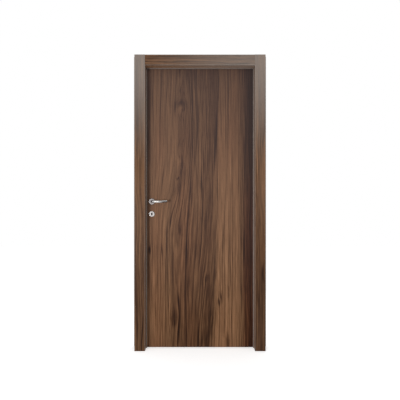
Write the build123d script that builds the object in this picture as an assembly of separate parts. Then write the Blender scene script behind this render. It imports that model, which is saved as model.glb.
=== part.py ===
from build123d import *
from math import cos, radians, sin
import os

# An interior flush door in its timber frame: the leaf swings on three barrel hinges.
# Millimetres. The origin is on the hinge jamb's wall face, at floor level, at mid wall depth.
# +X runs to the right as seen from the push side, +Y towards the pull side, +Z up.

# Doorway and lining
clear_width = 780.0
clear_height = 2025.0
wall_depth = 100.0
jamb_thickness = 23.0
stop_thickness = 15.0
stop_depth = 55.0
timber_arris = 1.0

# Leaf
leaf_thickness = 40.0
skin_thickness = 4.0
edge_band = 3.0
leaf_arris = 1.2
hinge_side_gap = 5.0
latch_side_gap = 7.0
head_gap = 5.0
floor_gap = 5.0

# Casings: the front ones stand flush with the stops
casing_thickness = 14.0
front_casing_width = 75.0
back_casing_width = 65.0
back_set_back = 13.0
casing_arris = 3.0

# Seal let into the rear face of the stop
seal_stem_width = 4.0
seal_stem_depth = 6.0
seal_stem_inset = 6.0
seal_lip_width = 16.0
seal_lip_reach = 7.0
seal_rounding = 1.8
seal_play = 0.3

# Barrel hinges
hinge_names = ("lower", "middle", "upper")
lowest_hinge_height = 230.0
hinge_top_distance = 251.0
barrel_radius = 8.0
barrel_half_length = 32.0
barrel_dome = 2.5
barrel_stand_off = 2.0
barrel_running_gap = 0.3
pin_radius = 4.0
pin_length = 24.0
pin_running_gap = 0.05
pin_end_gap = 1.0
stud_radius = 3.5
stud_angle = 40.0
frame_stud_length = 30.0
leaf_stud_length = 40.0
stud_hole_play = 0.1

# Lock
backset = 50.0
handle_height = 1059.0
handle_to_key = 90.0
forend_width = 22.0
forend_height = 220.0
forend_thickness = 3.0
bolt_width = 12.0
latch_bolt_height = 34.0
dead_bolt_height = 38.0
bolt_length = 40.0
bolt_play = 0.3
latch_bolt_rise = 14.0
dead_bolt_rise = 14.0
strike_thickness = 2.0
strike_height = 180.0
strike_width = 24.0
strike_hole_margin = 2.0
strike_pocket_depth = 14.0

# Handle
rose_radius = 22.5
rose_thickness = 8.0
rose_rounding = 2.5
collar_radius = 12.5
collar_height = 3.0
collar_rounding = 1.0
key_rose_radius = 20.5
key_rose_thickness = 8.0
keyhole_radius = 6.5
keyhole_slot_width = 10.0
keyhole_slot_drop = 14.5
neck_radius = 8.0
neck_play = 0.3
grip_stand_off = 48.0
elbow_radius = 14.0
lever_length = 115.0
waist_share = 0.28
waist_drop = 0.6
waist_half_height = 7.0
waist_half_depth = 6.2
blade_share = 0.68
blade_rise = 0.8
blade_half_height = 7.8
blade_half_depth = 5.2
tip_rise = 2.2
tip_half_height = 9.0
tip_half_depth = 4.4
tip_rounding = 3.0
tip_ring_angles = (0, 30, 55, 78)
spindle_side = 8.0
spindle_play = 0.1
spindle_grip = 26.0
spindle_hole_radius = 10.0

# Places worked out from the sizes
rebate_width = clear_width + 2 * stop_thickness
rebate_height = clear_height + stop_thickness
hinge_face = -jamb_thickness
latch_face = hinge_face - rebate_width
latch_wall_face = latch_face - jamb_thickness
frame_top = rebate_height + jamb_thickness
centre_x = (hinge_face + latch_face) / 2
front_y = -wall_depth / 2
back_y = wall_depth / 2
stop_rear = front_y + stop_depth

leaf_back = back_y
leaf_front = back_y - leaf_thickness
leaf_hinge_edge = hinge_face - hinge_side_gap
leaf_latch_edge = latch_face + latch_side_gap
leaf_top = rebate_height - head_gap
leaf_bottom = floor_gap
leaf_middle = (leaf_front + leaf_back) / 2

hinge_x = (hinge_face + leaf_hinge_edge) / 2
hinge_y = back_y + barrel_stand_off + barrel_radius
highest_hinge_height = frame_top - hinge_top_distance
hinge_pitch = (highest_hinge_height - lowest_hinge_height) / (len(hinge_names) - 1)
hinge_heights = [lowest_hinge_height + i * hinge_pitch for i in range(len(hinge_names))]

handle_x = leaf_latch_edge + backset
key_height = handle_height - handle_to_key
latch_bolt_z = handle_height + latch_bolt_rise
dead_bolt_z = key_height + dead_bolt_rise
lock_middle_z = (latch_bolt_z + dead_bolt_z) / 2


def block(x0, x1, y0, y1, z0, z1):
    centre = Pos((x0 + x1) / 2, (y0 + y1) / 2, (z0 + z1) / 2)
    return centre * Box(x1 - x0, y1 - y0, z1 - z0)


def edges_near(solid, axis, x=None, y=None, z=None):
    # Edges along one axis whose middle lies at the given places.
    wanted = []
    for edge in solid.edges().filter_by(axis):
        middle = edge.center()
        pairs = [(x, middle.X), (y, middle.Y), (z, middle.Z)]
        if all(place is None or abs(place - found) < 0.01 for place, found in pairs):
            wanted.append(edge)
    return wanted


def rod(start, direction, radius, length):
    return extrude(Plane(start, z_dir=direction) * Circle(radius), length)


# Jambs and head of the lining
def lining():
    hinge_jamb = block(hinge_face, 0, front_y, back_y, 0, frame_top)
    latch_jamb = block(latch_wall_face, latch_face, front_y, back_y, 0, frame_top)
    head_jamb = block(latch_face, hinge_face, front_y, back_y, rebate_height, frame_top)
    hinge_jamb = fillet(edges_near(hinge_jamb, Axis.Z, x=hinge_face, y=back_y), timber_arris)
    latch_jamb = fillet(edges_near(latch_jamb, Axis.Z, x=latch_face, y=back_y), timber_arris)
    head_jamb = fillet(edges_near(head_jamb, Axis.X, y=back_y, z=rebate_height), timber_arris)
    for height in hinge_heights:
        hinge_jamb -= stud(height, -1, stud_radius + stud_hole_play, stud_hole_play)
    latch_jamb -= strike_blank(0)
    for pocket in strike_pockets(strike_thickness + strike_pocket_depth):
        latch_jamb -= pocket
    return {"hinge_jamb": hinge_jamb, "latch_jamb": latch_jamb, "head_jamb": head_jamb}


# Stops with the groove that holds the seal, and the seals
def side_stop(face, side):
    # side is +1 at the hinge jamb and -1 at the latch jamb
    inner = face - side * stop_thickness
    stop = block(min(face, inner), max(face, inner), front_y, stop_rear, 0, clear_height)
    stop = fillet(edges_near(stop, Axis.Z, x=inner, y=front_y), timber_arris)
    middle = inner + side * seal_stem_inset
    half = seal_stem_width / 2
    return stop - block(middle - half, middle + half, stop_rear - seal_stem_depth, stop_rear, 0, clear_height)


def side_seal(face, side):
    inner = face - side * stop_thickness
    middle = inner + side * seal_stem_inset
    half = seal_stem_width / 2 - seal_play
    top = clear_height - seal_lip_reach
    stem_front = stop_rear - seal_stem_depth + seal_play
    lip_rear = leaf_front - seal_play
    lip_edge = inner - side * seal_lip_reach
    lip_root = lip_edge + side * seal_lip_width
    lip = block(min(lip_edge, lip_root), max(lip_edge, lip_root), stop_rear, lip_rear, 0, top)
    lip = fillet(edges_near(lip, Axis.Z, x=lip_edge), seal_rounding)
    return lip + block(middle - half, middle + half, stem_front, stop_rear, 0, top)


def head_stop():
    stop = block(latch_face, hinge_face, front_y, stop_rear, clear_height, rebate_height)
    stop = fillet(edges_near(stop, Axis.X, y=front_y, z=clear_height), timber_arris)
    middle = clear_height + seal_stem_inset
    half = seal_stem_width / 2
    groove_front = stop_rear - seal_stem_depth
    return stop - block(latch_face, hinge_face, groove_front, stop_rear, middle - half, middle + half)


def head_seal():
    middle = clear_height + seal_stem_inset
    half = seal_stem_width / 2 - seal_play
    stem_front = stop_rear - seal_stem_depth + seal_play
    lip_rear = leaf_front - seal_play
    lip_edge = clear_height - seal_lip_reach
    left = latch_face + seal_play
    right = hinge_face - seal_play
    lip = block(left, right, stop_rear, lip_rear, lip_edge, lip_edge + seal_lip_width)
    lip = fillet(edges_near(lip, Axis.X, z=lip_edge), seal_rounding)
    return lip + block(left, right, stem_front, stop_rear, middle - half, middle + half)


# Casings on one face of the wall: two full-height legs with the head between them
def casings(prefix, wall_y, outwards, inner_half, inner_height, width):
    face = wall_y + outwards * casing_thickness
    y0 = min(wall_y, face)
    y1 = max(wall_y, face)
    top = inner_height + width
    pieces = {}
    for name, side in (("latch", -1), ("hinge", 1)):
        inner = centre_x + side * inner_half
        outer = inner + side * width
        leg = block(min(inner, outer), max(inner, outer), y0, y1, 0, top)
        pieces[f"{prefix}_{name}_casing"] = fillet(edges_near(leg, Axis.Z, y=face), casing_arris)
    head = block(centre_x - inner_half, centre_x + inner_half, y0, y1, inner_height, top)
    pieces[f"{prefix}_head_casing"] = fillet(edges_near(head, Axis.X, y=face), casing_arris)
    return pieces


# Barrel hinges: the frame half is below and carries the pin, the leaf half turns on it
def stud(height, half, radius, extra):
    # half is -1 for the frame half below and +1 for the leaf half above
    slope = radians(stud_angle)
    direction = (-half * sin(slope), -cos(slope), 0)
    length = leaf_stud_length if half > 0 else frame_stud_length
    start = (hinge_x, hinge_y, height + half * barrel_half_length / 2)
    return rod(start, direction, radius, length + extra)


def hinge_frame_half(height):
    top = height - barrel_running_gap / 2
    bottom = height - barrel_half_length
    barrel = rod((hinge_x, hinge_y, bottom), (0, 0, 1), barrel_radius, top - bottom)
    barrel = fillet(barrel.edges().group_by(Axis.Z)[0], barrel_dome)
    pin = rod((hinge_x, hinge_y, top), (0, 0, 1), pin_radius, height + pin_length - top)
    return barrel + pin + stud(height, -1, stud_radius, 0)


def hinge_leaf_half(height):
    top = height + barrel_half_length
    bottom = height + barrel_running_gap / 2
    barrel = rod((hinge_x, hinge_y, bottom), (0, 0, 1), barrel_radius, top - bottom)
    barrel = fillet(barrel.edges().group_by(Axis.Z)[-1], barrel_dome)
    bore_radius = pin_radius + pin_running_gap
    bore_length = height + pin_length + pin_end_gap - bottom
    bore = rod((hinge_x, hinge_y, bottom), (0, 0, 1), bore_radius, bore_length)
    return barrel + stud(height, 1, stud_radius, 0) - bore


# Lock pieces on the latch edge, and the strike in the jamb
def slot_plate(x, y, z, width, height, thickness):
    plane = Plane((x, y, z), x_dir=(0, 0, 1), z_dir=(1, 0, 0))
    return extrude(plane * SlotOverall(height, width), thickness)


def bolt_block(z, height, play):
    # A bolt drawn back flush with the forend, or the hole that it slides in.
    half_width = bolt_width / 2 + play
    half_height = height / 2 + play
    x1 = leaf_latch_edge + bolt_length + play
    y0 = leaf_middle - half_width
    y1 = leaf_middle + half_width
    return block(leaf_latch_edge, x1, y0, y1, z - half_height, z + half_height)


def bolt_holes():
    latch_hole = bolt_block(latch_bolt_z, latch_bolt_height, bolt_play)
    return [latch_hole, bolt_block(dead_bolt_z, dead_bolt_height, bolt_play)]


def forend_blank(play):
    width = forend_width + 2 * play
    height = forend_height + 2 * play
    return slot_plate(leaf_latch_edge, leaf_middle, lock_middle_z, width, height, forend_thickness)


def strike_blank(play):
    half_width = strike_width / 2 - play
    half_height = strike_height / 2 - play
    y0 = leaf_middle - half_width
    y1 = leaf_middle + half_width
    z0 = lock_middle_z - half_height
    z1 = lock_middle_z + half_height
    return block(latch_face - strike_thickness, latch_face, y0, y1, z0, z1)


def strike_pockets(depth):
    pockets = []
    half_width = bolt_width / 2 + strike_hole_margin
    for z, height in ((latch_bolt_z, latch_bolt_height), (dead_bolt_z, dead_bolt_height)):
        half = height / 2 + strike_hole_margin
        y0 = leaf_middle - half_width
        y1 = leaf_middle + half_width
        pockets.append(block(latch_face - depth, latch_face, y0, y1, z - half, z + half))
    return pockets


def strike_plate():
    plate = strike_blank(bolt_play)
    for pocket in strike_pockets(strike_thickness):
        plate -= pocket
    return plate


# Keyhole: a round hole over a slot, cut along Y
def keyhole(y0, y1):
    rise = keyhole_slot_drop / 2 - keyhole_radius / 2
    top = key_height + rise
    round_part = rod((handle_x, y0, top), (0, 1, 0), keyhole_radius, y1 - y0)
    half = keyhole_slot_width / 2
    return round_part + block(handle_x - half, handle_x + half, y0, y1, top - keyhole_slot_drop, top)


# Leaf: lipped core between two veneered skins
def leaf():
    x0 = leaf_latch_edge
    x1 = leaf_hinge_edge
    inner_x0 = x0 + edge_band
    inner_x1 = x1 - edge_band
    inner_top = leaf_top - edge_band
    core_front = leaf_front + skin_thickness
    core_back = leaf_back - skin_thickness
    core = block(inner_x0, inner_x1, core_front, core_back, leaf_bottom, inner_top)
    front_skin = block(inner_x0, inner_x1, leaf_front, core_front, leaf_bottom, inner_top)
    back_skin = block(inner_x0, inner_x1, core_back, leaf_back, leaf_bottom, inner_top)
    latch_edge = block(x0, inner_x0, leaf_front, leaf_back, leaf_bottom, leaf_top)
    latch_edge = fillet(edges_near(latch_edge, Axis.Z, x=x0), leaf_arris)
    hinge_edge = block(inner_x1, x1, leaf_front, leaf_back, leaf_bottom, leaf_top)
    hinge_edge = fillet(edges_near(hinge_edge, Axis.Z, x=x1), leaf_arris)
    top_edge = block(inner_x0, inner_x1, leaf_front, leaf_back, inner_top, leaf_top)
    top_edge = fillet(edges_near(top_edge, Axis.X, z=leaf_top), leaf_arris)

    spindle_hole = rod((handle_x, leaf_front, handle_height), (0, 1, 0), spindle_hole_radius, leaf_thickness)
    core -= spindle_hole
    front_skin -= spindle_hole
    back_skin -= spindle_hole
    front_skin -= keyhole(leaf_front, core_front)
    back_skin -= keyhole(core_back, leaf_back)
    forend_hole = forend_blank(bolt_play)
    latch_edge -= forend_hole
    core -= forend_hole
    for hole in bolt_holes():
        core -= hole
    for height in hinge_heights:
        hole = stud(height, 1, stud_radius + stud_hole_play, stud_hole_play)
        core -= hole
        back_skin -= hole
        hinge_edge -= hole
    return {
        "leaf_core": core,
        "leaf_front_skin": front_skin,
        "leaf_back_skin": back_skin,
        "leaf_latch_edge": latch_edge,
        "leaf_hinge_edge": hinge_edge,
        "leaf_top_edge": top_edge,
    }


def lock():
    forend = forend_blank(0)
    for hole in bolt_holes():
        forend -= hole
    latch_bolt = bolt_block(latch_bolt_z, latch_bolt_height, 0)
    dead_bolt = bolt_block(dead_bolt_z, dead_bolt_height, 0)
    return {"lock_forend": forend, "latch_bolt": latch_bolt, "dead_bolt": dead_bolt}


# Roses and levers: face is the leaf's face and outwards is -1 at the front, +1 at the back
def outer_edge(solid, outwards):
    return solid.edges().sort_by(Axis.Y)[-1 if outwards > 0 else 0]


def disc(face, height, outwards, radius, thickness, rounding):
    plate = rod((handle_x, face, height), (0, outwards, 0), radius, thickness)
    return fillet(outer_edge(plate, outwards), rounding)


def handle_rose(face, outwards):
    plate = disc(face, handle_height, outwards, rose_radius, rose_thickness, rose_rounding)
    total = rose_thickness + collar_height
    collar = disc(face, handle_height, outwards, collar_radius, total, collar_rounding)
    bore = rod((handle_x, face, handle_height), (0, outwards, 0), neck_radius + neck_play, total)
    return plate + collar - bore


def key_rose(face, outwards):
    plate = disc(face, key_height, outwards, key_rose_radius, key_rose_thickness, rose_rounding)
    tip = face + outwards * key_rose_thickness
    return plate - keyhole(min(face, tip), max(face, tip))


def grip_section(x, grip_y, rise, half_height, half_depth):
    plane = Plane((x, grip_y, handle_height + rise), x_dir=(0, 0, 1), z_dir=(1, 0, 0))
    return plane * Ellipse(half_height, half_depth)


def grip(grip_y):
    # A waisted bar that rises and flattens towards its rounded tip.
    start = handle_x + elbow_radius
    length = lever_length - elbow_radius - tip_rounding
    waist_x = start + waist_share * length
    blade_x = start + blade_share * length
    tip_x = start + length
    bar = loft([
        grip_section(start, grip_y, 0, neck_radius, neck_radius),
        grip_section(waist_x, grip_y, -waist_drop, waist_half_height, waist_half_depth),
        grip_section(blade_x, grip_y, blade_rise, blade_half_height, blade_half_depth),
        grip_section(tip_x, grip_y, tip_rise, tip_half_height, tip_half_depth),
    ])
    rings = []
    for angle in tip_ring_angles:
        inset = tip_rounding * (1 - cos(radians(angle)))
        x = tip_x + tip_rounding * sin(radians(angle))
        rings.append(grip_section(x, grip_y, tip_rise, tip_half_height - inset, tip_half_depth - inset))
    return bar + loft(rings, ruled=True)


def lever(face, outwards):
    grip_y = face + outwards * grip_stand_off
    elbow_y = grip_y - outwards * elbow_radius
    neck_start = face + outwards * neck_play
    away = (0, outwards, 0)
    neck = rod((handle_x, neck_start, handle_height), away, neck_radius, abs(elbow_y - neck_start))
    section = Plane((handle_x, elbow_y, handle_height), z_dir=away) * Circle(neck_radius)
    bend = Axis((handle_x + elbow_radius, elbow_y, handle_height), (0, 0, -outwards))
    elbow = revolve(section, bend, 90)
    socket_side = spindle_side + 2 * spindle_play
    socket = Plane((handle_x, neck_start, handle_height), z_dir=away) * Rectangle(socket_side, socket_side)
    return neck + elbow + grip(grip_y) - extrude(socket, spindle_grip)


def spindle():
    half = spindle_side / 2
    y0 = leaf_front - neck_play - spindle_grip + spindle_play
    y1 = leaf_back + neck_play + spindle_grip - spindle_play
    return block(handle_x - half, handle_x + half, y0, y1, handle_height - half, handle_height + half)


nodes = lining()
nodes["hinge_stop"] = side_stop(hinge_face, 1)
nodes["latch_stop"] = side_stop(latch_face, -1)
nodes["head_stop"] = head_stop()
nodes["hinge_seal"] = side_seal(hinge_face, 1)
nodes["latch_seal"] = side_seal(latch_face, -1)
nodes["head_seal"] = head_seal()
nodes.update(casings("front", front_y, -1, clear_width / 2, clear_height, front_casing_width))
back_half = rebate_width / 2 + back_set_back
nodes.update(casings("back", back_y, 1, back_half, rebate_height + back_set_back, back_casing_width))
nodes["strike_plate"] = strike_plate()
for name, height in zip(hinge_names, hinge_heights):
    nodes[f"{name}_hinge_frame_half"] = hinge_frame_half(height)
    nodes[f"{name}_hinge_leaf_half"] = hinge_leaf_half(height)
nodes.update(leaf())
nodes.update(lock())
for side, face, outwards in (("front", leaf_front, -1), ("back", leaf_back, 1)):
    nodes[f"{side}_handle_rose"] = handle_rose(face, outwards)
    nodes[f"{side}_key_rose"] = key_rose(face, outwards)
    nodes[f"{side}_lever"] = lever(face, outwards)
nodes["spindle"] = spindle()

os.makedirs("parts", exist_ok=True)
for name, shape in nodes.items():
    export_step(shape, f"parts/{name}.step")
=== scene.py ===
import math

import bmesh
import bpy
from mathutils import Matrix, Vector


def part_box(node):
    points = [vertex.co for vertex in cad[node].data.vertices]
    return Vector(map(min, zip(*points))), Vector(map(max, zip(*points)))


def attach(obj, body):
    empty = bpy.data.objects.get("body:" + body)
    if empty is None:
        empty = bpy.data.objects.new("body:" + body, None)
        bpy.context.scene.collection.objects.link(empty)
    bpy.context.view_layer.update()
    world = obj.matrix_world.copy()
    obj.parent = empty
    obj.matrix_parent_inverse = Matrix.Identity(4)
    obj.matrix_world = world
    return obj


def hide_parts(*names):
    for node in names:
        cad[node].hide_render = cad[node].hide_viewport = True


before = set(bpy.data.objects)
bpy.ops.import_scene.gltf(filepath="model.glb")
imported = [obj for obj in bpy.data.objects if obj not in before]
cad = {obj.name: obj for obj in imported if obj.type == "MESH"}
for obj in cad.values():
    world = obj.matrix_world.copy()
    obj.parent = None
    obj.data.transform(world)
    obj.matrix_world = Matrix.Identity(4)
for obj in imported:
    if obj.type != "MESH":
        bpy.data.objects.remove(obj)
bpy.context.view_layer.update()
print("frame loaded with", len(cad), "pieces")

# places that several sections share, all read from the frame
roseLow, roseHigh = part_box("front_handle_rose")
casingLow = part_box("front_latch_casing")[0]  # outer corners of the front casings
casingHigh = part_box("front_hinge_casing")[1]
handleX = (roseLow.x + roseHigh.x) / 2
handleZ = (roseLow.z + roseHigh.z) / 2
centreX = (casingLow.x + casingHigh.x) / 2
frontY = casingLow.y


def linear(red, green, blue):  # screen colour, 0 to 255, to shader colour
    channels = []
    for value in (red, green, blue):
        share = value / 255
        channels.append(share / 12.92 if share <= 0.04045 else ((share + 0.055) / 1.055) ** 2.4)
    return (*channels, 1.0)


# node helpers
def addNode(tree, kind, **settings):
    node = tree.nodes.new(kind)
    for name, value in settings.items():
        setattr(node, name, value)
    return node


def plug(tree, value, socket):
    if isinstance(value, bpy.types.NodeSocket):
        tree.links.new(value, socket)
    else:
        socket.default_value = value


def calc(tree, operation, *values, clamp=False):
    node = addNode(tree, "ShaderNodeMath", operation=operation, use_clamp=clamp)
    for value, socket in zip(values, node.inputs):
        plug(tree, value, socket)
    return node.outputs[0]


def remap(tree, value, low, high, toLow=0.0, toHigh=1.0, smooth=False):
    node = addNode(tree, "ShaderNodeMapRange", clamp=True)
    node.interpolation_type = "SMOOTHSTEP" if smooth else "LINEAR"
    for item, socket in zip((value, low, high, toLow, toHigh), node.inputs):
        plug(tree, item, socket)
    return node.outputs[0]


def combine(tree, x, y, z):
    node = addNode(tree, "ShaderNodeCombineXYZ")
    for value, socket in zip((x, y, z), node.inputs):
        plug(tree, value, socket)
    return node.outputs[0]


def split(tree, vector):
    node = addNode(tree, "ShaderNodeSeparateXYZ")
    tree.links.new(vector, node.inputs[0])
    return node.outputs


def stretch(tree, axes, scales):  # a small scale draws a pattern out along its axis
    return combine(tree, *(calc(tree, "MULTIPLY", axis, scale) for axis, scale in zip(axes, scales)))


noiseSpan = (0.3, 0.7)  # where most of a noise value lies


def noise(tree, vector, scale=1.0, detail=2.0, roughness=0.5):
    node = addNode(tree, "ShaderNodeTexNoise", noise_dimensions="3D")
    tree.links.new(vector, node.inputs["Vector"])
    node.inputs["Scale"].default_value = scale
    node.inputs["Detail"].default_value = detail
    node.inputs["Roughness"].default_value = roughness
    return node.outputs["Fac"]


def mixColor(tree, factor, first, second, blend="MIX"):
    node = addNode(tree, "ShaderNodeMix", data_type="RGBA", blend_type=blend)
    plug(tree, factor, node.inputs[0])
    plug(tree, first, node.inputs[6])
    plug(tree, second, node.inputs[7])
    return node.outputs[2]


def ramp(tree, value, stops):
    node = addNode(tree, "ShaderNodeValToRGB")
    elements = node.color_ramp.elements
    while len(elements) < len(stops):
        elements.new(0.5)
    for element, (place, color) in zip(elements, stops):
        element.position = place
        element.color = color
    tree.links.new(value, node.inputs[0])
    return node.outputs[0]


def mottle(tree, value, dark, light, span=noiseSpan):  # from dark to light over the span
    return ramp(tree, value, [(span[0], dark), (span[1], light)])


def bell(tree, value, centre, halfWidth):  # 1 at the centre, falling away on both sides
    reach = calc(tree, "DIVIDE", calc(tree, "SUBTRACT", value, centre), halfWidth)
    return calc(tree, "EXPONENT", calc(tree, "MULTIPLY", calc(tree, "MULTIPLY", reach, reach), -1.0))


def spot(tree, across, along, centre, up, halfWidth, halfHeight):  # a soft oval
    return calc(tree, "MULTIPLY", bell(tree, across, centre, halfWidth), bell(tree, along, up, halfHeight))


def newGroup(name, inputs, outputs):
    tree = bpy.data.node_groups.new(name, "ShaderNodeTree")
    for label in inputs:
        tree.interface.new_socket(name=label, in_out="INPUT", socket_type="NodeSocketFloat")
    for label in outputs:
        tree.interface.new_socket(name=label, in_out="OUTPUT", socket_type="NodeSocketFloat")
    start = addNode(tree, "NodeGroupInput")
    end = addNode(tree, "NodeGroupOutput")
    return tree, start.outputs, end.inputs


def useGroup(tree, group, **values):  # one keyword for each socket, without the spaces in its name
    node = addNode(tree, "ShaderNodeGroup", node_tree=group)
    for socket in node.inputs:
        key = socket.name[0].lower() + socket.name[1:].replace(" ", "")
        plug(tree, values[key], socket)
    return node.outputs


def newMaterial(name):
    material = bpy.data.materials.new(name)
    material.use_nodes = True
    tree = material.node_tree
    shader = tree.nodes["Principled BSDF"]
    place = addNode(tree, "ShaderNodeTexCoord").outputs["Object"]
    return material, tree, shader, place


def addBump(tree, shader, height, strength, distance):
    bump = addNode(tree, "ShaderNodeBump")
    bump.inputs["Strength"].default_value = strength
    bump.inputs["Distance"].default_value = distance
    tree.links.new(height, bump.inputs["Height"])
    tree.links.new(bump.outputs[0], shader.inputs["Normal"])


# walnut grain, which all the veneers share
walnutGrain = {
    "layers": {  # scale across, scale along, detail, roughness
        "sway": (2.4, 0.9, 1.0, 0.5),
        "ripple": (16.0, 3.4, 1.0, 0.5),
        "band": (13.0, 0.30, 1.5, 0.5),
        "stripe": (100.0, 0.60, 3.0, 0.6),
        "ring": (30.0, 0.28, 1.0, 0.5),
        "strength": (40.0, 0.9, 1.0, 0.5),
        "fleck": (150.0, 5.0, 2.0, 0.6),
        "fine": (360.0, 3.6, 2.0, 0.5),
        "pore": (1100.0, 30.0, 1.0, 0.5),
    },
    "sideShift": 3.0,  # keeps the two sides of the loop from mirroring each other
    "rippleWidth": 0.010, "ringCount": 5.0, "lineWidth": 0.16, "strengthSpan": (0.35, 0.58),
    "poreSpan": (0.60, 0.72), "fineHeight": 0.6, "poreDepth": 0.5,
}


def makeGrainGroup(spec):
    inputs = ["Across", "Plain", "Deep", "Along", "Side", "Wave", "Band", "Stripe", "Line", "Fleck", "Fine",
              "Run", "Slant"]
    tree, given, result = newGroup("walnutGrain", inputs, ["Tone", "Pores", "Height"])
    along = calc(tree, "MULTIPLY", given["Along"], given["Run"])
    across = calc(tree, "MULTIPLY_ADD", given["Along"], given["Slant"], given["Across"])
    aside = calc(tree, "MULTIPLY", given["Side"], spec["sideShift"])

    def layer(name, source):
        acrossScale, alongScale, detail, roughness = spec["layers"][name]
        deep = calc(tree, "MULTIPLY_ADD", given["Deep"], acrossScale, aside)
        vector = combine(tree, calc(tree, "MULTIPLY", source, acrossScale), deep,
                         calc(tree, "MULTIPLY", along, alongScale))
        return noise(tree, vector, 1.0, detail, roughness)

    def swing(name, source):  # a layer that goes to both sides of zero
        return calc(tree, "SUBTRACT", layer(name, source), 0.5)

    bent = calc(tree, "MULTIPLY_ADD", swing("sway", across), given["Wave"], across)
    bent = calc(tree, "MULTIPLY_ADD", swing("ripple", across), spec["rippleWidth"], bent)
    plain = calc(tree, "ADD", given["Plain"], calc(tree, "SUBTRACT", bent, across))
    rings = calc(tree, "FRACT", calc(tree, "MULTIPLY", layer("ring", bent), spec["ringCount"]))
    away = calc(tree, "ABSOLUTE", calc(tree, "SUBTRACT", rings, 0.5))
    line = remap(tree, away, spec["lineWidth"], 0.0, smooth=True)
    line = calc(tree, "MULTIPLY", line, remap(tree, layer("strength", bent), *spec["strengthSpan"]))
    fine = swing("fine", plain)
    tone = calc(tree, "MULTIPLY_ADD", swing("band", bent), given["Band"], 0.5)
    tone = calc(tree, "MULTIPLY_ADD", swing("stripe", bent), given["Stripe"], tone)
    tone = calc(tree, "MULTIPLY_ADD", swing("fleck", plain), given["Fleck"], tone)
    tone = calc(tree, "MULTIPLY_ADD", fine, given["Fine"], tone)
    tone = calc(tree, "SUBTRACT", tone, calc(tree, "MULTIPLY", line, given["Line"]))
    pores = remap(tree, layer("pore", plain), *spec["poreSpan"], smooth=True)
    height = calc(tree, "SUBTRACT", calc(tree, "MULTIPLY", fine, spec["fineHeight"]),
                  calc(tree, "MULTIPLY", pores, spec["poreDepth"]))
    for label, value in (("Tone", tone), ("Pores", pores), ("Height", height)):
        tree.links.new(value, result[label])
    return tree


# knots push the lines aside and darken with a ragged edge
knotEdge = {"streaks": (190.0, 0.0, 26.0), "detail": 3.0, "ragged": 0.9, "span": (0.30, 1.05)}


def makeKnotGroup(spec):
    inputs = ["Across", "Along", "Centre Across", "Centre Along", "Half Width", "Half Height", "Push"]
    tree, given, result = newGroup("walnutKnot", inputs, ["Across", "Mask"])
    reach = spot(tree, given["Across"], given["Along"], given["Centre Across"], given["Centre Along"],
                 given["Half Width"], given["Half Height"])
    offset = calc(tree, "SUBTRACT", given["Across"], given["Centre Across"])
    pushed = calc(tree, "MULTIPLY", calc(tree, "MULTIPLY", offset, given["Push"]), reach)
    drawn = stretch(tree, (given["Across"], 0.0, given["Along"]), spec["streaks"])
    streaks = calc(tree, "SUBTRACT", noise(tree, drawn, 1.0, spec["detail"]), 0.5)
    ragged = calc(tree, "MULTIPLY_ADD", streaks, spec["ragged"], reach)
    mask = calc(tree, "MULTIPLY", remap(tree, ragged, *spec["span"], smooth=True), reach)
    tree.links.new(calc(tree, "SUBTRACT", given["Across"], pushed), result["Across"])
    tree.links.new(mask, result["Mask"])
    return tree


def makeLeanGroup():  # lets a bundle of lines drift sideways on its way down
    inputs = ["Across", "Along", "Centre", "Half Width", "Top", "Bottom", "Shift"]
    tree, given, result = newGroup("walnutLean", inputs, ["Across"])
    drop = remap(tree, given["Along"], given["Top"], given["Bottom"], smooth=True)
    share = calc(tree, "MULTIPLY", bell(tree, given["Across"], given["Centre"], given["Half Width"]), drop)
    tree.links.new(calc(tree, "MULTIPLY_ADD", share, given["Shift"], given["Across"]), result["Across"])
    return tree


# painted highlight along the arrises, in patches
arrisHighlightEdge = {"reach": 0.005, "fullReach": 0.0015, "scale": 14.0, "detail": 4.0, "roughness": 0.6,
           "patchSpan": (0.30, 0.60), "least": 0.45}


def makeArrisHighlightGroup(spec):
    tree, given, result = newGroup("edgeWear", ["Across", "Deep", "Along", "Edge"], ["Mask"])
    away = calc(tree, "ABSOLUTE", calc(tree, "SUBTRACT", given["Across"], given["Edge"]))
    near = remap(tree, away, spec["reach"], spec["fullReach"], smooth=True)
    place = combine(tree, given["Across"], given["Deep"], given["Along"])
    patchiness = noise(tree, place, spec["scale"], spec["detail"], spec["roughness"])
    patches = remap(tree, patchiness, *spec["patchSpan"], spec["least"], 1.0)
    tree.links.new(calc(tree, "MULTIPLY", near, patches), result["Mask"])
    return tree


grainGroup = makeGrainGroup(walnutGrain)
knotGroup = makeKnotGroup(knotEdge)
leanGroup = makeLeanGroup()
arrisHighlightGroup = makeArrisHighlightGroup(arrisHighlightEdge)

# stain and lacquer over the grain, with the painted sheen mixed in
walnutFinish = {
    "tones": [  # tone, screen colour
        (0.00, linear(38, 24, 17)),
        (0.25, linear(77, 52, 36)),
        (0.50, linear(112, 81, 57)),
        (0.75, linear(140, 102, 73)),
        (1.00, linear(168, 128, 95)),
    ],
    "hueScale": (5.0, 0.0, 0.8), "redTint": linear(240, 196, 186), "redSpan": (0.45, 0.70), "redMost": 0.25,
    "poreColor": linear(38, 27, 22), "poreShade": 0.30, "poreDull": 0.15, "bump": 0.25, "bumpDepth": 0.0004,
}


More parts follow.
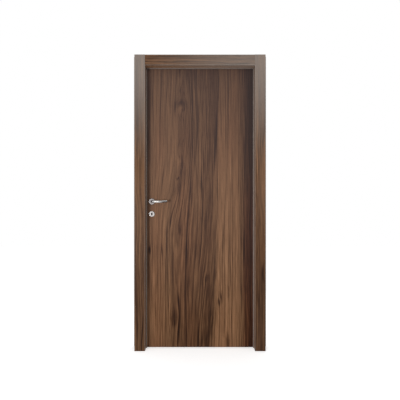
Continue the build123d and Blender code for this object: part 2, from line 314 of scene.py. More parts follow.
def finishWalnut(tree, shader, tone, grain, across, along, grey, spec, heart=0.0):
    finish = walnutFinish
    color = ramp(tree, tone, finish["tones"])
    hue = noise(tree, stretch(tree, (across, 0.0, along), finish["hueScale"]))
    reddish = mixColor(tree, 1.0, color, finish["redTint"], "MULTIPLY")
    redness = remap(tree, hue, *finish["redSpan"], 0.0, finish["redMost"])
    color = mixColor(tree, calc(tree, "ADD", redness, heart, clamp=True), color, reddish)
    color = mixColor(tree, grey, color, spec["bloom"])  # painted sheen that pales and greys the wood
    dark = calc(tree, "MULTIPLY", grain["Pores"], finish["poreShade"])
    color = mixColor(tree, dark, color, finish["poreColor"])
    tree.links.new(color, shader.inputs["Base Color"])
    rough = calc(tree, "MULTIPLY_ADD", grain["Pores"], finish["poreDull"], spec["roughness"])
    tree.links.new(rough, shader.inputs["Roughness"])
    shader.inputs["Specular IOR Level"].default_value = spec["specular"]
    addBump(tree, shader, grain["Height"], finish["bump"], finish["bumpDepth"])


def useGrain(tree, across, plain, deep, along, side, spec):
    names = ("wave", "band", "stripe", "line", "fleck", "fine", "run", "slant")
    shares = {name: spec[name] for name in names}
    return useGroup(tree, grainGroup, across=across, plain=plain, deep=deep, along=along, side=side, **shares)


def addSpots(tree, across, along, spots, total):
    for centre, up, halfWidth, halfHeight, added in spots:
        soft = spot(tree, across, along, centre, up, halfWidth, halfHeight)
        total = calc(tree, "MULTIPLY_ADD", soft, added, total)
    return total


# leaf: one sheet of figured veneer, places in metres across and up
leafVeneer = {
    "wave": 0.030, "band": 0.22, "stripe": 0.80, "line": 0.44, "fleck": 1.00, "fine": 0.30, "run": 1.0,
    "slant": 0.0, "roughness": 0.55, "specular": 0.05, "bloom": linear(112, 99, 99),
    # painted sheen: the leaf greys towards the top
    "greySpan": (0.2, 2.1), "greyMost": 0.34,
    "loop": {"across": -0.566, "along": 1.577, "width": 0.062, "height": 0.33, "sideSlope": 8.0},
    "leans": [  # centre, half width, top, bottom, shift
        (-0.43, 0.105, 1.10, 0.00, 0.070),
        (-0.66, 0.110, 1.45, 0.80, 0.070),
    ],
    "bands": [  # across, tone added
        # the dark stops at the left edge, -0.83 and -0.80, are partly dark wood and partly the casing's
        # painted shadow
        (-0.83, -0.12), (-0.80, -0.03), (-0.775, 0.11), (-0.70, 0.12), (-0.62, 0.05), (-0.52, -0.05),
        (-0.36, -0.09), (-0.320, -0.11), (-0.290, 0.21), (-0.16, 0.19), (-0.125, -0.02), (-0.09, -0.24),
        (-0.05, -0.33),
    ],
    "bandEdge": {"scale": (9.0, 0.0, 3.0), "detail": 3.0, "width": 0.035},  # how the bands waver
    "knots": [  # across, along, half width, half height, push, darkening
        (-0.776, 0.706, 0.018, 0.045, 0.9, 0.46),
        (-0.764, 0.735, 0.010, 0.060, 0.6, 0.26),
        (-0.780, 0.510, 0.014, 0.110, 0.5, 0.16),
        (-0.566, 1.745, 0.026, 0.045, 0.9, 0.08),
        (-0.556, 1.345, 0.011, 0.070, 0.5, 0.26),
        (-0.537, 0.853, 0.010, 0.060, 0.6, 0.20),
        (-0.555, 0.215, 0.022, 0.110, 0.5, 0.24),
        (-0.349, 0.505, 0.016, 0.045, 0.7, 0.16),
        (-0.268, 0.375, 0.016, 0.070, 0.8, 0.30),
        (-0.280, 0.331, 0.018, 0.045, 0.8, 0.22),
        (-0.221, 0.405, 0.012, 0.120, 0.4, 0.30),
        (-0.225, 0.037, 0.020, 0.100, 0.6, 0.34),
    ],
    "shades": [  # across, along, half width, half height, darkening
        # painted shadow of the latch-side casing down the leaf's left edge, high up
        (-0.836, 1.700, 0.048, 0.650, 0.36),
        # painted shade high up on the hinge side
        (-0.045, 1.600, 0.055, 0.600, 0.12),
        (-0.375, 0.150, 0.055, 0.420, 0.10),
        (-0.338, 0.280, 0.032, 0.360, 0.14),
        # painted shade near the top, right of the middle
        (-0.220, 2.150, 0.140, 0.550, 0.16),
        # painted shadow under the head, across the leaf's top
        (-0.450, 2.080, 0.600, 0.150, 0.10),
        (-0.568, 1.762, 0.038, 0.036, 0.42),  # these three are the hook at the loop's top
        (-0.567, 1.743, 0.019, 0.030, -0.48),
        (-0.553, 1.722, 0.009, 0.018, 0.12),
    ],
    "heart": {"across": (-0.13, -0.09), "along": (1.45, 0.70), "red": 0.55},
    "calm": {"along": (0.6, 1.6), "most": 0.36, "livelyAcross": -0.45, "livelyWidth": 0.12, "tone": 0.40},
    "loopCalm": {"along": 1.56, "halfWidth": 0.024, "halfHeight": 0.15, "most": 0.65},
}


def bendLines(tree, x, z, spec):  # leans and knots, with the darkening of knots and of the tone and painted shade spots
    across = x
    for centre, halfWidth, top, bottom, shift in spec["leans"]:
        across = useGroup(tree, leanGroup, across=across, along=z, centre=centre, halfWidth=halfWidth,
                          top=top, bottom=bottom, shift=shift)["Across"]
    shade = 0.0
    for centre, up, halfWidth, halfHeight, push, dark in spec["knots"]:
        knot = useGroup(tree, knotGroup, across=across, along=z, centreAcross=centre, centreAlong=up,
                        halfWidth=halfWidth, halfHeight=halfHeight, push=push)
        across = knot["Across"]
        shade = calc(tree, "MULTIPLY_ADD", knot["Mask"], dark, shade)
    return across, addSpots(tree, x, z, spec["shades"], shade)


def bandTone(tree, across, bands):  # broad light and dark bands, 0.5 where nothing is added
    first, last = bands[0][0], bands[-1][0]
    stops = []
    for where, added in bands:
        level = 0.5 + added
        stops.append(((where - first) / (last - first), (level, level, level, 1.0)))
    return split(tree, ramp(tree, remap(tree, across, first, last), stops))[0]


def calmGrain(tree, x, z, offset, tone, spec):  # calmer high up at both sides, and inside the loop
    calm, loop = spec["calm"], spec["loopCalm"]
    sides = calc(tree, "SUBTRACT", 1.0, bell(tree, x, calm["livelyAcross"], calm["livelyWidth"]))
    share = calc(tree, "MULTIPLY", remap(tree, z, *calm["along"], 0.0, calm["most"]), sides)
    inside = spot(tree, offset, z, 0.0, loop["along"], loop["halfWidth"], loop["halfHeight"])
    share = calc(tree, "MULTIPLY_ADD", inside, loop["most"], share)
    excess = calc(tree, "SUBTRACT", tone, calm["tone"])
    return calc(tree, "SUBTRACT", tone, calc(tree, "MULTIPLY", excess, share))


def makeLeafWalnut(spec):
    material, tree, shader, place = newMaterial("leafWalnut")
    x, y, z = split(tree, place)
    across, shade = bendLines(tree, x, z, spec)
    # the long loop: its lines close above and below the middle
    loop = spec["loop"]
    offset = calc(tree, "SUBTRACT", across, loop["across"])
    fade = bell(tree, z, loop["along"], loop["height"])
    pinch = calc(tree, "MULTIPLY", calc(tree, "SUBTRACT", 1.0, fade), loop["width"] ** 2)
    ring = calc(tree, "SQRT", calc(tree, "MULTIPLY_ADD", offset, offset, pinch))
    side = calc(tree, "TANH", calc(tree, "MULTIPLY", offset, loop["sideSlope"]))
    grain = useGrain(tree, ring, across, y, z, side, spec)
    edge = spec["bandEdge"]
    waver = noise(tree, stretch(tree, (x, 0.0, z), edge["scale"]), 1.0, edge["detail"])
    wavering = calc(tree, "MULTIPLY_ADD", calc(tree, "SUBTRACT", waver, 0.5), edge["width"], across)
    bands = bandTone(tree, wavering, spec["bands"])
    lines = calmGrain(tree, x, z, offset, grain["Tone"], spec)
    tone = calc(tree, "SUBTRACT", calc(tree, "ADD", lines, bands), calc(tree, "ADD", shade, 0.5))
    grey = remap(tree, z, *spec["greySpan"], 0.0, spec["greyMost"])
    heart = spec["heart"]  # the red heartwood low at the hinge side
    red = calc(tree, "MULTIPLY", remap(tree, wavering, *heart["across"], 0.0, heart["red"], True),
               remap(tree, z, *heart["along"], smooth=True))
    finishWalnut(tree, shader, tone, grain, x, z, grey, spec, red)
    return material


# boards: straight veneer, with painted sheen greying it towards the top or the right
boardVeneer = {  # what casings, jambs and stops share
    "slant": 0.0, "toneDrop": 0.0, "footDrop": 0.0, "footSpan": (1.2, 0.2), "bloom": linear(178, 168, 160),
    "shades": [], "blooms": [], "wear": 0.0,
}
casingVeneer = {
    **boardVeneer,
    "wave": 0.060, "band": 0.16, "stripe": 1.05, "line": 0.36, "fleck": 0.40, "fine": 0.36, "run": 1.8,
    "slant": 0.012, "roughness": 0.34, "specular": 0.07, "footDrop": 0.13,
    "shades": [  # across, along, half width, half height, darkening (negative lightens); painted shade and light along each casing
        (-0.875, 1.20, 0.060, 0.80, 0.11),
        (-0.875, 1.75, 0.060, 0.25, 0.14),
        (-0.875, 1.47, 0.060, 0.12, -0.05),
        (-0.875, 0.60, 0.060, 0.30, 0.06),
        (-0.875, 0.10, 0.060, 0.20, -0.07),
        (0.020, 2.10, 0.060, 0.12, -0.20),
        (0.020, 1.27, 0.060, 0.25, -0.07),
        (0.020, 1.15, 0.060, 0.20, 0.02),
        (0.020, 0.50, 0.060, 0.45, 0.11),
    ],
    "blooms": [  # across, along, half width, half height, painted sheen added
        (-0.875, 1.65, 0.060, 0.30, -0.06),
        (-0.875, 0.95, 0.060, 0.35, -0.03),
        (0.020, 1.15, 0.060, 0.25, 0.05),
    ],
    "greySpan": (1.20, 2.12), "greyMost": 0.58, "wear": 0.26,
}
headVeneer = {
    **boardVeneer,
    "wave": 0.016, "band": 0.30, "stripe": 1.70, "line": 0.55, "fleck": 0.60, "fine": 0.45, "run": 2.6,
    "slant": 0.010, "roughness": 0.45, "specular": 0.05, "toneDrop": -0.05,
    "greySpan": (-0.98, 0.00), "greyMost": 0.44, "wear": 0.36,
}
jambVeneer = {
    **boardVeneer,
    "wave": 0.040, "band": 0.40, "stripe": 0.85, "line": 0.28, "fleck": 0.40, "fine": 0.30, "run": 1.0,
    "roughness": 0.40, "specular": 0.08, "toneDrop": 0.08, "greySpan": (0.0, 2.20), "greyMost": 0.20,
}
stopVeneer = {
    **boardVeneer,
    "wave": 0.030, "band": 0.30, "stripe": 0.70, "line": 0.20, "fleck": 0.30, "fine": 0.30, "run": 1.0,
    "roughness": 0.45, "specular": 0.08, "toneDrop": -0.20, "greySpan": (-2.0, 2.20), "greyMost": 0.35,
}
# painted light: the head stop is a lighter, greyer copy of the stops, for its lit underside
litHeadStopVeneer = {**stopVeneer, "toneDrop": -0.34, "greySpan": (-0.98, 0.0), "greyMost": 0.54}


def makeBoardWalnut(name, alongAxis, spec, edges=()):
    material, tree, shader, place = newMaterial(name)
    axes = split(tree, place)
    along = axes[alongAxis]
    across = axes["Z" if alongAxis == "X" else "X"]
    grain = useGrain(tree, across, across, axes["Y"], along, 0.0, spec)
    drop = spec["toneDrop"]
    foot = remap(tree, along, *spec["footSpan"], drop, drop + spec["footDrop"], True)
    tone = calc(tree, "SUBTRACT", grain["Tone"], addSpots(tree, across, along, spec["shades"], foot))
    # painted sheen, greyer towards one end, with spots of more or less
    grey = remap(tree, along, *spec["greySpan"], 0.0, spec["greyMost"], True)
    grey = calc(tree, "MAXIMUM", addSpots(tree, across, along, spec["blooms"], grey), 0.0)
    # painted highlight along each arris, mixed in with the painted sheen
    for edge in edges:
        highlighted = useGroup(tree, arrisHighlightGroup, across=across, deep=axes["Y"], along=along, edge=edge)["Mask"]
        grey = calc(tree, "MULTIPLY_ADD", highlighted, spec["wear"], grey)
    finishWalnut(tree, shader, tone, grain, across, along, grey, spec)
    return material


def makeCasingWalnut(side):  # each face of the wall has its own arrises
    legEdges = []
    for leg in ("_latch_casing", "_hinge_casing"):
        legEdges.extend(corner.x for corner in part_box(side + leg))
    headEdges = [corner.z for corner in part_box(side + "_head_casing")]
    legs = makeBoardWalnut(side + "CasingWalnut", "Z", casingVeneer, legEdges)
    head = makeBoardWalnut(side + "HeadWalnut", "X", headVeneer, headEdges)
    return {"leg": legs, "head": head}


# core board: pressed chips, seen on the bottom edge and in the holes
chipBoard = {"scale": 260, "dark": linear(78, 58, 40), "light": linear(150, 120, 86), "roughness": 0.85,
             "bump": 0.4, "bumpDepth": 0.0005}


def makeCoreBoard(spec):
    material, tree, shader, place = newMaterial("coreBoard")
    chips = addNode(tree, "ShaderNodeTexVoronoi")
    chips.inputs["Scale"].default_value = spec["scale"]
    tree.links.new(place, chips.inputs["Vector"])
    tint = split(tree, chips.outputs["Color"])[0]
    tree.links.new(mottle(tree, tint, spec["dark"], spec["light"], (0.0, 1.0)), shader.inputs["Base Color"])
    shader.inputs["Roughness"].default_value = spec["roughness"]
    addBump(tree, shader, chips.outputs["Distance"], spec["bump"], spec["bumpDepth"])
    return material


# grey rubber of the seal, with the faint drag lines of an extrusion
greyRubber = {"dark": linear(120, 108, 101), "light": linear(136, 123, 115), "drag": (1500.0, 1500.0, 4.0),
              "dustScale": 60.0, "dustDetail": 3.0, "roughness": (0.50, 0.68), "bump": 0.2,
              "bumpDepth": 0.0003}


def makeSealRubber(spec):
    material, tree, shader, place = newMaterial("sealRubber")
    lines = noise(tree, stretch(tree, split(tree, place), spec["drag"]))
    dust = noise(tree, place, spec["dustScale"], spec["dustDetail"])
    tree.links.new(mottle(tree, dust, spec["dark"], spec["light"]), shader.inputs["Base Color"])
    tree.links.new(remap(tree, lines, *noiseSpan, *spec["roughness"]), shader.inputs["Roughness"])
    addBump(tree, shader, lines, spec["bump"], spec["bumpDepth"])
    return material


# satin metals: nickel on the handle and roses, steel on the lock and hinges
satinBrush = {"detail": 3.0, "smoother": 0.05, "rougher": 0.07, "bump": 0.02, "bumpDepth": 0.0002,
              "smudgeScale": 45.0, "smudgeSpan": (0.35, 0.65)}
levelBrush = (30, 900, 900)  # scale on each axis, small along the brushing
uprightBrush = (900, 900, 60)
satinMetals = {
    "keyRoseNickel": {"light": linear(150, 145, 143), "dark": linear(138, 133, 131), "roughness": 0.20,
                      "brush": levelBrush, "dullParts": []},
    # painted shade: the handle rose is a darker copy of the roses' nickel, for the lever's shade over it
    "handleRoseNickel": {"light": linear(122, 117, 116), "dark": linear(110, 105, 104), "roughness": 0.22,
                         "brush": levelBrush, "dullParts": []},
    "leverNickel": {
        "light": linear(184, 182, 179), "dark": linear(168, 166, 163), "roughness": 0.14, "brush": levelBrush,
        "dullParts": [  # painted shade on the underside of the outer grip and on the neck; along is from the spindle
            {"along": (0.055, 0.085), "facing": (-0.10, -0.55), "color": linear(112, 112, 114),
             "duller": 0.20},
            {"along": (0.018, 0.009), "color": linear(128, 124, 122), "duller": 0.16},
        ],
    },
    "plainSteel": {"light": linear(196, 194, 190), "dark": linear(176, 174, 170), "roughness": 0.30,
                   "brush": uprightBrush, "dullParts": []},
}


def makeSatinMetal(name, spec):
    material, tree, shader, place = newMaterial(name)
    axes = split(tree, place)
    brushed = noise(tree, stretch(tree, axes, spec["brush"]), 1.0, satinBrush["detail"])
    smudge = noise(tree, place, satinBrush["smudgeScale"])
    color = mottle(tree, smudge, spec["dark"], spec["light"], satinBrush["smudgeSpan"])
    rough = remap(tree, brushed, *noiseSpan, spec["roughness"] - satinBrush["smoother"],
                  spec["roughness"] + satinBrush["rougher"])
    for part in spec["dullParts"]:  # painted shade: darker colour, with a duller brushing
        start, end = part["along"]
        mask = remap(tree, axes["X"], handleX + start, handleX + end, smooth=True)
        if "facing" in part:
            facing = split(tree, addNode(tree, "ShaderNodeTexCoord").outputs["Normal"])["Z"]
            mask = calc(tree, "MULTIPLY", mask, remap(tree, facing, *part["facing"], smooth=True))
        color = mixColor(tree, mask, color, part["color"])
        rough = calc(tree, "MULTIPLY_ADD", mask, part["duller"], rough)
    tree.links.new(color, shader.inputs["Base Color"])
    shader.inputs["Metallic"].default_value = 1.0
    tree.links.new(rough, shader.inputs["Roughness"])
    addBump(tree, shader, brushed, satinBrush["bump"], satinBrush["bumpDepth"])
    return material


leafWalnut = makeLeafWalnut(leafVeneer)
casingWalnut = {side: makeCasingWalnut(side) for side in ("front", "back")}
jambWalnut = makeBoardWalnut("jambWalnut", "Z", jambVeneer)
headJambWalnut = makeBoardWalnut("headJambWalnut", "X", jambVeneer)
stopWalnut = makeBoardWalnut("stopWalnut", "Z", stopVeneer)
headStopWalnut = makeBoardWalnut("headStopWalnut", "X", litHeadStopVeneer)
coreBoard = makeCoreBoard(chipBoard)
sealRubber = makeSealRubber(greyRubber)
metals = {name: makeSatinMetal(name, spec) for name, spec in satinMetals.items()}
print("materials made")

steelPieces = ("lock_forend", "latch_bolt", "dead_bolt", "strike_plate", "spindle")


def finishOf(node):
    atHead = "head" in node
    if node.endswith("_seal"):
        return sealRubber
    if node == "leaf_core":
        return coreBoard
    if "rose" in node:
        return metals["keyRoseNickel" if "key" in node else "handleRoseNickel"]
    if "lever" in node:
        return metals["leverNickel"]
    if node.startswith("leaf_top"):
        return headJambWalnut
    if node.startswith("leaf_"):
        return leafWalnut
    if node in steelPieces or "hinge_frame_half" in node or "hinge_leaf_half" in node:
        return metals["plainSteel"]
    if node.endswith("_stop"):
        return headStopWalnut if atHead else stopWalnut
    if node.endswith("_jamb"):
        return headJambWalnut if atHead else jambWalnut
    side = node.split("_")[0]
    return casingWalnut[side]["head" if atHead else "leg"]


for node, piece in cad.items():
    piece.data.materials.clear()
    piece.data.materials.append(finishOf(node))
print("finishes given")

# screws that hold the forend and the strike, with crossed slots
plateScrew = {"headRadius": 0.0038, "headHeight": 0.002, "proud": 0.0005, "slotLength": 0.0046,
              "slotWidth": 0.0009, "slotLift": 0.6, "sides": 32, "endInset": 0.014}


def makeScrewTree(spec):
    tree = bpy.data.node_groups.new("plateScrews", "GeometryNodeTree")
    sockets = [("Geometry", "Geometry"), ("Head Radius", "Float"), ("Head Height", "Float"),
               ("Slot Length", "Float"), ("Slot Width", "Float"), ("Turn", "Rotation"), ("Metal", "Material")]
    for label, kind in sockets:
        tree.interface.new_socket(name=label, in_out="INPUT", socket_type="NodeSocket" + kind)
    tree.interface.new_socket(name="Geometry", in_out="OUTPUT", socket_type="NodeSocketGeometry")
    given = addNode(tree, "NodeGroupInput").outputs
    head = addNode(tree, "GeometryNodeMeshCylinder")
    head.inputs["Vertices"].default_value = spec["sides"]
    tree.links.new(given["Head Radius"], head.inputs["Radius"])
    tree.links.new(given["Head Height"], head.inputs["Depth"])
    cut = addNode(tree, "GeometryNodeMeshBoolean", operation="DIFFERENCE")
    tree.links.new(head.outputs["Mesh"], cut.inputs["Mesh 1"])
    lift = combine(tree, 0.0, 0.0, calc(tree, "MULTIPLY", given["Head Height"], spec["slotLift"]))
    for wide, deep in (("Slot Length", "Slot Width"), ("Slot Width", "Slot Length")):
        bar = addNode(tree, "GeometryNodeMeshCube")
        tree.links.new(combine(tree, given[wide], given[deep], given["Head Height"]), bar.inputs["Size"])
        raised = addNode(tree, "GeometryNodeTransform")
        tree.links.new(bar.outputs["Mesh"], raised.inputs["Geometry"])
        tree.links.new(lift, raised.inputs["Translation"])
        tree.links.new(raised.outputs[0], cut.inputs["Mesh 2"])
    spread = addNode(tree, "GeometryNodeInstanceOnPoints")
    tree.links.new(given["Geometry"], spread.inputs["Points"])
    tree.links.new(cut.outputs["Mesh"], spread.inputs["Instance"])
    tree.links.new(given["Turn"], spread.inputs["Rotation"])
    solid = addNode(tree, "GeometryNodeRealizeInstances")
    paint = addNode(tree, "GeometryNodeSetMaterial")
    tree.links.new(spread.outputs[0], solid.inputs[0])
    tree.links.new(solid.outputs[0], paint.inputs["Geometry"])
    tree.links.new(given["Metal"], paint.inputs["Material"])
    tree.links.new(paint.outputs[0], addNode(tree, "NodeGroupOutput").inputs[0])
    return tree


def setInput(modifier, label, value):
    for item in modifier.node_group.interface.items_tree:
        if item.in_out == "INPUT" and item.name == label:
            modifier[item.identifier] = value


def bakeTree(name, points, tree, values, body):
    source = bpy.data.meshes.new(name + "Points")
    source.from_pydata(points, [], [])
    piece = bpy.data.objects.new(name, source)
    bpy.context.scene.collection.objects.link(piece)
    modifier = piece.modifiers.new("make", "NODES")
    modifier.node_group = tree
    for label, value in values.items():
        setInput(modifier, label, value)
    bpy.context.view_layer.update()
    made = bpy.data.meshes.new_from_object(piece.evaluated_get(bpy.context.evaluated_depsgraph_get()))
    piece.modifiers.remove(modifier)
    piece.data = made
    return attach(piece, body)


def makePlateScrews(spec, metal):
    tree = makeScrewTree(spec)
    plates = (("forendScrews", "lock_forend", -1, "leaf"), ("strikeScrews", "strike_plate", 1, "frame"))
    for name, node, side, body in plates:
        low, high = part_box(node)
        faceX = low.x if side < 0 else high.x
        middleY = (low.y + high.y) / 2
        depth = faceX + side * (spec["proud"] - spec["headHeight"] / 2)
        points = [(depth, middleY, low.z + spec["endInset"]), (depth, middleY, high.z - spec["endInset"])]
        values = {"Head Radius": spec["headRadius"], "Head Height": spec["headHeight"],
                  "Slot Length": spec["slotLength"], "Slot Width": spec["slotWidth"],
                  "Turn": (0.0, side * math.pi / 2, 0.0), "Metal": metal}
        bakeTree(name, points, tree, values, body)


makePlateScrews(plateScrew, metals["plainSteel"])
print("screws set")

# levers: a round neck and elbow that flatten into a blade, square near the neck and turned down at the tip
leverBlade = {
    "neckRadius": 0.0080, "neckPlay": 0.0003, "standOff": 0.048, "elbow": 0.014, "length": 0.115,
    "tipRounding": 0.0025, "points": 40, "elbowSteps": 16, "gripSteps": 56, "tipSteps": 6, "smoothAngle": 35,
    "stations": [  # share of the grip, rise, half height, half depth, squareness, twist in degrees
        (0.00, 0.0000, 0.0080, 0.0080, 2.0, 0.0),
        (0.08, -0.0003, 0.0075, 0.0062, 5.0, -2.3),
        (0.34, -0.0006, 0.0073, 0.0062, 6.0, -2.3),
        (0.54, 0.0000, 0.0078, 0.0053, 4.0, -28.0),
        (0.74, 0.0010, 0.0082, 0.0047, 3.8, -46.0),
        (1.00, 0.0022, 0.0083, 0.0044, 3.8, -48.0),
    ],
}


def bladeSection(spec, share):  # rise, half height, half depth, squareness and twist at a share of the grip
    stations = spec["stations"]
    for before, after in zip(stations, stations[1:]):
        if share <= after[0]:
            part = (share - before[0]) / (after[0] - before[0])
            part = part * part * (3 - 2 * part)
            return [low + (high - low) * part for low, high in zip(before[1:], after[1:])]
    return stations[-1][1:]


def leverRing(spec, centre, turn, outwards, halfHeight, halfDepth, squareness, twist):
    # turn is 0 where the ring faces along the neck and a quarter turn where it faces along the grip
    twist = math.radians(twist)
    depth = Vector((-math.cos(turn), outwards * math.sin(turn), 0))
    up = Vector((0, 0, 1))
    face = depth * math.cos(twist) + up * math.sin(twist)
    height = up * math.cos(twist) - depth * math.sin(twist)
    ring = []
    for i in range(spec["points"]):
        angle = 2 * math.pi * i / spec["points"]
        across = math.copysign(abs(math.cos(angle)) ** (2 / squareness), math.cos(angle))
        along = math.copysign(abs(math.sin(angle)) ** (2 / squareness), math.sin(angle))
        ring.append(centre + face * (halfDepth * across) + height * (halfHeight * along))
    return ring


def leverRings(spec, face, outwards):
    elbow, rounding = spec["elbow"], spec["tipRounding"]
    gripY = face + outwards * spec["standOff"]
    elbowY = gripY - outwards * elbow
    neck = Vector((handleX, face + outwards * spec["neckPlay"], handleZ))
    neckSection = (spec["neckRadius"], spec["neckRadius"], 2.0, 0.0)  # round, not twisted
    rings = [leverRing(spec, neck, 0, outwards, *neckSection)]
    quarter = math.pi / 2
    for step in range(spec["elbowSteps"]):
        turn = quarter * step / spec["elbowSteps"]
        middleX = handleX + elbow * (1 - math.cos(turn))
        middle = Vector((middleX, elbowY + outwards * elbow * math.sin(turn), handleZ))
        rings.append(leverRing(spec, middle, turn, outwards, *neckSection))
    start = handleX + elbow
    length = spec["length"] - elbow - rounding
    for step in range(spec["gripSteps"] + 1):
        share = step / spec["gripSteps"]
        rise, *section = bladeSection(spec, share)
        middle = Vector((start + share * length, gripY, handleZ + rise))
        rings.append(leverRing(spec, middle, quarter, outwards, *section))
    halfHeight, halfDepth, squareness, twist = section
    for step in range(1, spec["tipSteps"] + 1):
        angle = quarter * step / spec["tipSteps"]
        inset = rounding * (1 - math.cos(angle))
        middle = Vector((start + length + rounding * math.sin(angle), gripY, handleZ + rise))
        rings.append(leverRing(spec, middle, quarter, outwards, halfHeight - inset, halfDepth - inset,
                               squareness, twist))
    return rings


def makeRingMesh(name, rings, material, smoothAngle):  # a closed skin over rings of equal count
    count = len(rings[0])
    faces = [tuple(range(count)), tuple(range((len(rings) - 1) * count, len(rings) * count))]
    for ring in range(len(rings) - 1):
        for i in range(count):
            j = (i + 1) % count
            faces.append((ring * count + i, ring * count + j, (ring + 1) * count + j, (ring + 1) * count + i))
    mesh = bpy.data.meshes.new(name)
    mesh.from_pydata([point for ring in rings for point in ring], [], faces)
    shape = bmesh.new()
    shape.from_mesh(mesh)
    bmesh.ops.recalc_face_normals(shape, faces=shape.faces)
    shape.to_mesh(mesh)
    shape.free()
    mesh.shade_smooth()
    mesh.set_sharp_from_angle(angle=math.radians(smoothAngle))
    mesh.materials.append(material)
    piece = bpy.data.objects.new(name, mesh)
    bpy.context.scene.collection.objects.link(piece)
    return piece


def makeLevers(spec, metal):
    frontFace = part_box("leaf_front_skin")[0].y
    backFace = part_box("leaf_back_skin")[1].y
    for side, face, outwards in (("front", frontFace, -1), ("back", backFace, 1)):
        rings = leverRings(spec, face, outwards)
        blade = makeRingMesh(side + "LeverBlade", rings, metal, spec["smoothAngle"])
        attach(blade, "handle")
        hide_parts(side + "_lever")


makeLevers(leverBlade, metals["leverNickel"])
print("levers shaped")

# painted shade in each keyhole: a near-black cup lines the hole and stands for the lock case at its end
keyThroat = {
    "radius": 0.0065, "slotHalf": 0.005, "slotDrop": 0.0145, "rise": 0.004, "play": 0.00005, "wall": 0.0004,
    "rimInset": 0.0012, "arcSteps": 28, "smoothAngle": 35,
}
# near-black colour of the keyhole lining: painted shade
keyholeShade = {"dark": linear(14, 14, 15), "light": linear(30, 29, 28), "oilScale": 300.0, "oilDetail": 3.0,
             "roughness": (0.5, 0.8), "specular": 0.2}


def makeKeyholeShade(spec):
    material, tree, shader, place = newMaterial("throatIron")
    blotch = noise(tree, place, spec["oilScale"], spec["oilDetail"])
    tree.links.new(mottle(tree, blotch, spec["dark"], spec["light"]), shader.inputs["Base Color"])
    tree.links.new(remap(tree, blotch, *noiseSpan, *spec["roughness"]), shader.inputs["Roughness"])
    shader.inputs["Specular IOR Level"].default_value = spec["specular"]
    return material


def keyholeOutline(spec, inset):
    radius = spec["radius"] - inset
    half = spec["slotHalf"] - inset
    foot = inset - spec["slotDrop"]
    meet = math.asin(half / radius)
    points = [(-half, foot), (half, foot)]
    for step in range(spec["arcSteps"] + 1):
        angle = -math.pi / 2 + meet + (2 * math.pi - 2 * meet) * step / spec["arcSteps"]
        points.append((radius * math.cos(angle), radius * math.sin(angle)))
    return points


def makeKeyThroats(spec, metal):
    coreLow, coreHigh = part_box("leaf_core")
    for side, outwards, bottom in (("front", -1, coreLow.y), ("back", 1, coreHigh.y)):
        low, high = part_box(side + "_key_rose")
        middleX = (low.x + high.x) / 2
        middleZ = (low.z + high.z) / 2 + spec["rise"]
        rim = (low.y if outwards < 0 else high.y) - outwards * spec["rimInset"]
        outer = keyholeOutline(spec, spec["play"])
        inner = keyholeOutline(spec, spec["play"] + spec["wall"])
        end = bottom + outwards * spec["play"]
        rings = [(outer, end), (outer, rim), (inner, rim), (inner, end + outwards * spec["wall"])]
        placed = [[(middleX + x, y, middleZ + z) for x, z in outline] for outline, y in rings]
        throat = makeRingMesh(side + "KeyThroat", placed, metal, spec["smoothAngle"])
        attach(throat, "leaf")


makeKeyThroats(keyThroat, makeKeyholeShade(keyholeShade))
print("keyholes lined")

# stage: pale floor, white surround, soft lamps, camera at the photograph's place
white = (1, 1, 1, 1)
studio = {
    "cameraBack": 3.2, "cameraHeight": 1.07, "lens": 40.7, "ambient": 0.50,
    "floorSize": 14.0, "floorDrop": 0.0005, "floorGlow": 0.58, "floorRoughness": 0.95, "toothScale": 400.0,
    "floorDark": (0.86, 0.86, 0.86, 1), "floorLight": (0.90, 0.90, 0.90, 1),
    "lamps": [  # name, place, target, width, height, watts, spread in degrees
        ("keySoftbox", (-1.35, -2.6, 0.85), (0, 0, 0.95), 0.5, 0.9, 8.0, 80),
        ("handleStrip", (-0.58, -2.7, 0.86), (-0.35, 0, 1.0), 0.22, 0.30, 0.60, 180),
        ("topSoftbox", (0, -4.0, 3.0), (0, 0, 1.8), 2.4, 0.6, 5, 120),
        ("backSoftbox", (0.6, 3.0, 1.6), (0, 0, 1.0), 0.9, 1.4, 9.0, 80),
    ],
}


def rayMask(tree):  # 1 for what the eye, metal and glass see
    rays = addNode(tree, "ShaderNodeLightPath").outputs
    seen = calc(tree, "ADD", rays["Is Camera Ray"], rays["Is Glossy Ray"])
    return calc(tree, "ADD", seen, rays["Is Transmission Ray"], clamp=True)


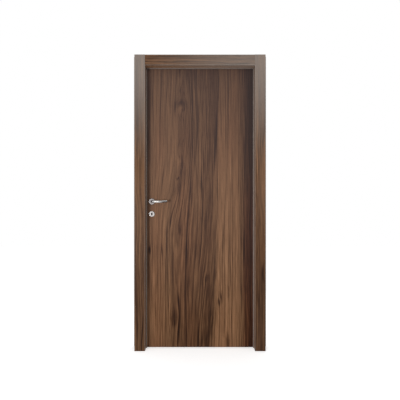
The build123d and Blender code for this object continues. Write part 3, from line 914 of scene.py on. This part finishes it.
def makeFloor(spec):
    half = spec["floorSize"] / 2
    signs = ((-1, -1), (1, -1), (1, 1), (-1, 1))
    corners = [(centreX + x * half, y * half, -spec["floorDrop"]) for x, y in signs]
    mesh = bpy.data.meshes.new("floor")
    mesh.from_pydata(corners, [], [(0, 1, 2, 3)])
    floor = bpy.data.objects.new("floor", mesh)
    bpy.context.scene.collection.objects.link(floor)
    material, tree, shader, place = newMaterial("floorPaper")
    tooth = noise(tree, place, spec["toothScale"])
    paper = mottle(tree, tooth, spec["floorDark"], spec["floorLight"])
    tree.links.new(paper, shader.inputs["Base Color"])
    shader.inputs["Roughness"].default_value = spec["floorRoughness"]
    shader.inputs["Specular IOR Level"].default_value = 0.0
    shader.inputs["Emission Color"].default_value = white
    glow = calc(tree, "MULTIPLY", rayMask(tree), spec["floorGlow"])
    tree.links.new(glow, shader.inputs["Emission Strength"])
    mesh.materials.append(material)


def makeWorld(spec):
    world = bpy.data.worlds.new("whiteSurround")
    bpy.context.scene.world = world
    world.use_nodes = True
    tree = world.node_tree
    background = tree.nodes["Background"]
    background.inputs["Color"].default_value = white
    strength = remap(tree, rayMask(tree), 0.0, 1.0, spec["ambient"], 1.0)
    tree.links.new(strength, background.inputs["Strength"])


def fromMiddle(across, back, up):  # across from the part's middle, back and up from its origin
    return Vector((centreX + across, back, up))


def makeLamp(name, place, target, width, height, power, spread):
    data = bpy.data.lights.new(name, "AREA")
    data.shape = "RECTANGLE"
    data.size = width
    data.size_y = height
    data.energy = power
    data.spread = math.radians(spread)
    lamp = bpy.data.objects.new(name, data)
    bpy.context.scene.collection.objects.link(lamp)
    lamp.location = fromMiddle(*place)
    aim = fromMiddle(*target) - fromMiddle(*place)
    lamp.rotation_euler = aim.to_track_quat("-Z", "Y").to_euler()


def makeCamera(spec):
    data = bpy.data.cameras.new("camera")
    data.lens = spec["lens"]
    camera = bpy.data.objects.new("camera", data)
    bpy.context.scene.collection.objects.link(camera)
    camera.location = (centreX, frontY - spec["cameraBack"], spec["cameraHeight"])
    camera.rotation_euler = (math.pi / 2, 0, 0)
    bpy.context.scene.camera = camera


makeFloor(studio)
makeWorld(studio)
for lamp in studio["lamps"]:
    makeLamp(*lamp)
makeCamera(studio)
bpy.context.scene.view_settings.view_transform = "Standard"
print("stage set")
